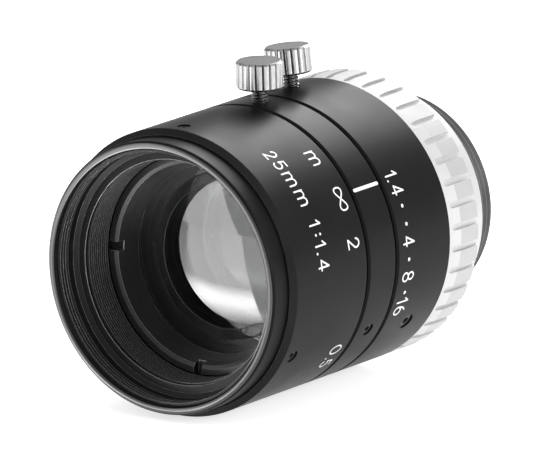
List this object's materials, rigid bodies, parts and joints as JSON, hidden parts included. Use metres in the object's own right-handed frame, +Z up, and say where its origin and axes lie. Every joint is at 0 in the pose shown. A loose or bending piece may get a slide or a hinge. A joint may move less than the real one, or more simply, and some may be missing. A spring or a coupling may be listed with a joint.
{
  "type": "c-mount machine vision lens",
  "caption": "Fixed focal length machine vision lens: focus ring and iris ring with knurled lock screws, slotted mount ring, threaded rear mount and a recessed front lens.",
  "frame": {"origin": "centre of the flange face that seats on the camera body, on the optical axis", "axes": "+Y along the optical axis towards the camera, the front of the lens looks along -Y, +Z up through the focus lock screw"},
  "size_m": [0.0344, 0.0498, 0.0395],
  "materials": {
    "black_anodised": "turned aluminium, satin black anodised",
    "bright_aluminium": "turned aluminium, clear anodised, fine satin",
    "optical_glass": "polished and coated optical glass",
    "blackened_steel": "blackened steel",
    "nickel_plate": "nickel plated",
    "soft_pad": "natural nylon",
    "brass": "turned brass"
  },
  "bodies": {
    "fixed_barrel": {"main_barrel": "black_anodised", "guide_screw": "blackened_steel", "mount_ring": "bright_aluminium", "mount_sleeve": "black_anodised"},
    "optical_block": {"front_barrel": "black_anodised", "front_retaining_ring": "black_anodised", "front_element": "optical_glass", "front_spacer": "black_anodised", "second_element": "optical_glass", "third_element": "optical_glass", "iris_tube": "black_anodised", "rear_cell": "black_anodised", "rear_doublet_ring": "black_anodised", "fourth_element": "optical_glass", "fifth_element": "optical_glass", "sixth_element": "optical_glass", "rear_retaining_ring": "black_anodised", "sleeve_clip_ring": "blackened_steel"},
    "focus_ring": {"focus_ring": "black_anodised", "focus_grub_screws": "blackened_steel", "helicoid_sleeve": "brass"},
    "iris_ring": {"iris_ring": "black_anodised", "iris_drive_screw": "blackened_steel"},
    "iris_cam": {"iris_cam_ring": "black_anodised"},
    "focus_lock_pad": {"focus_lock_pad": "soft_pad"},
    "focus_lock_screw": {"focus_lock_screw": "nickel_plate"},
    "iris_lock_pad": {"iris_lock_pad": "soft_pad"},
    "iris_lock_screw": {"iris_lock_screw": "nickel_plate"},
    "iris_blade_1": {"iris_blade_1": "blackened_steel"},
    "iris_blade_2": {"iris_blade_2": "blackened_steel"},
    "iris_blade_3": {"iris_blade_3": "blackened_steel"},
    "iris_blade_4": {"iris_blade_4": "blackened_steel"},
    "iris_blade_5": {"iris_blade_5": "blackened_steel"}
  },
  "joints": [
    {"name": "focus_turn", "type": "hinge", "parent": "optical_block", "child": "focus_ring", "pos_m": [0, -0.035, 0], "axis": [0, -1, 0], "range_deg": [0, 118.6]},
    {"name": "focus_advance", "type": "slide", "parent": "fixed_barrel", "child": "optical_block", "axis": [0, -1, 0], "range_m": [0, 0.00227]},
    {"name": "iris_turn", "type": "hinge", "parent": "fixed_barrel", "child": "iris_ring", "pos_m": [0, -0.01643, 0], "axis": [0, -1, 0], "range_deg": [0, 51.5]},
    {"name": "cam_turn", "type": "hinge", "parent": "optical_block", "child": "iris_cam", "pos_m": [0, -0.015, 0], "axis": [0, -1, 0], "range_deg": [0, 51.6]},
    {"name": "focus_lock_lift", "type": "slide", "parent": "fixed_barrel", "child": "focus_lock_pad", "axis": [0, 0, 1], "range_m": [0, 0.0006]},
    {"name": "focus_lock_turn", "type": "hinge", "parent": "focus_lock_pad", "child": "focus_lock_screw", "pos_m": [0, -0.02493, 0.02], "axis": [0, 0, 1], "range_deg": [0, 540.1]},
    {"name": "iris_lock_lift", "type": "slide", "parent": "iris_ring", "child": "iris_lock_pad", "axis": [-0.0958, 0, 0.9954], "range_m": [0, 0.0006]},
    {"name": "iris_lock_turn", "type": "hinge", "parent": "iris_lock_pad", "child": "iris_lock_screw", "pos_m": [-0.00192, -0.01633, 0.01991], "axis": [-0.0958, 0, 0.9954], "range_deg": [0, 540.1]},
    {"name": "blade_1_swing", "type": "hinge", "parent": "optical_block", "child": "iris_blade_1", "pos_m": [0.00948, -0.018, 0.00768], "axis": [0, -1, 0], "range_deg": [0, 29.5]},
    {"name": "blade_2_swing", "type": "hinge", "parent": "optical_block", "child": "iris_blade_2", "pos_m": [0.01023, -0.018, -0.00664], "axis": [0, -1, 0], "range_deg": [0, 29.5]},
    {"name": "blade_3_swing", "type": "hinge", "parent": "optical_block", "child": "iris_blade_3", "pos_m": [-0.00316, -0.018, -0.01178], "axis": [0, -1, 0], "range_deg": [0, 29.5]},
    {"name": "blade_4_swing", "type": "hinge", "parent": "optical_block", "child": "iris_blade_4", "pos_m": [-0.01218, -0.018, -0.00064], "axis": [0, -1, 0], "range_deg": [0, 29.5]},
    {"name": "blade_5_swing", "type": "hinge", "parent": "optical_block", "child": "iris_blade_5", "pos_m": [-0.00437, -0.018, 0.01139], "axis": [0, -1, 0], "range_deg": [0, 29.5]}
  ],
  "couplings": [
    {"joint": "focus_turn", "follows": "focus_advance", "rad_per_m": 911.11},
    {"joint": "cam_turn", "follows": "iris_turn", "ratio": 1},
    {"joint": "focus_lock_turn", "follows": "focus_lock_lift", "rad_per_m": 15708},
    {"joint": "iris_lock_turn", "follows": "iris_lock_lift", "rad_per_m": 15708},
    {"joint": "blade_1_swing", "follows": "iris_turn", "ratio": 0.57087},
    {"joint": "blade_2_swing", "follows": "iris_turn", "ratio": 0.57087},
    {"joint": "blade_3_swing", "follows": "iris_turn", "ratio": 0.57087},
    {"joint": "blade_4_swing", "follows": "iris_turn", "ratio": 0.57087},
    {"joint": "blade_5_swing", "follows": "iris_turn", "ratio": 0.57087}
  ]
}
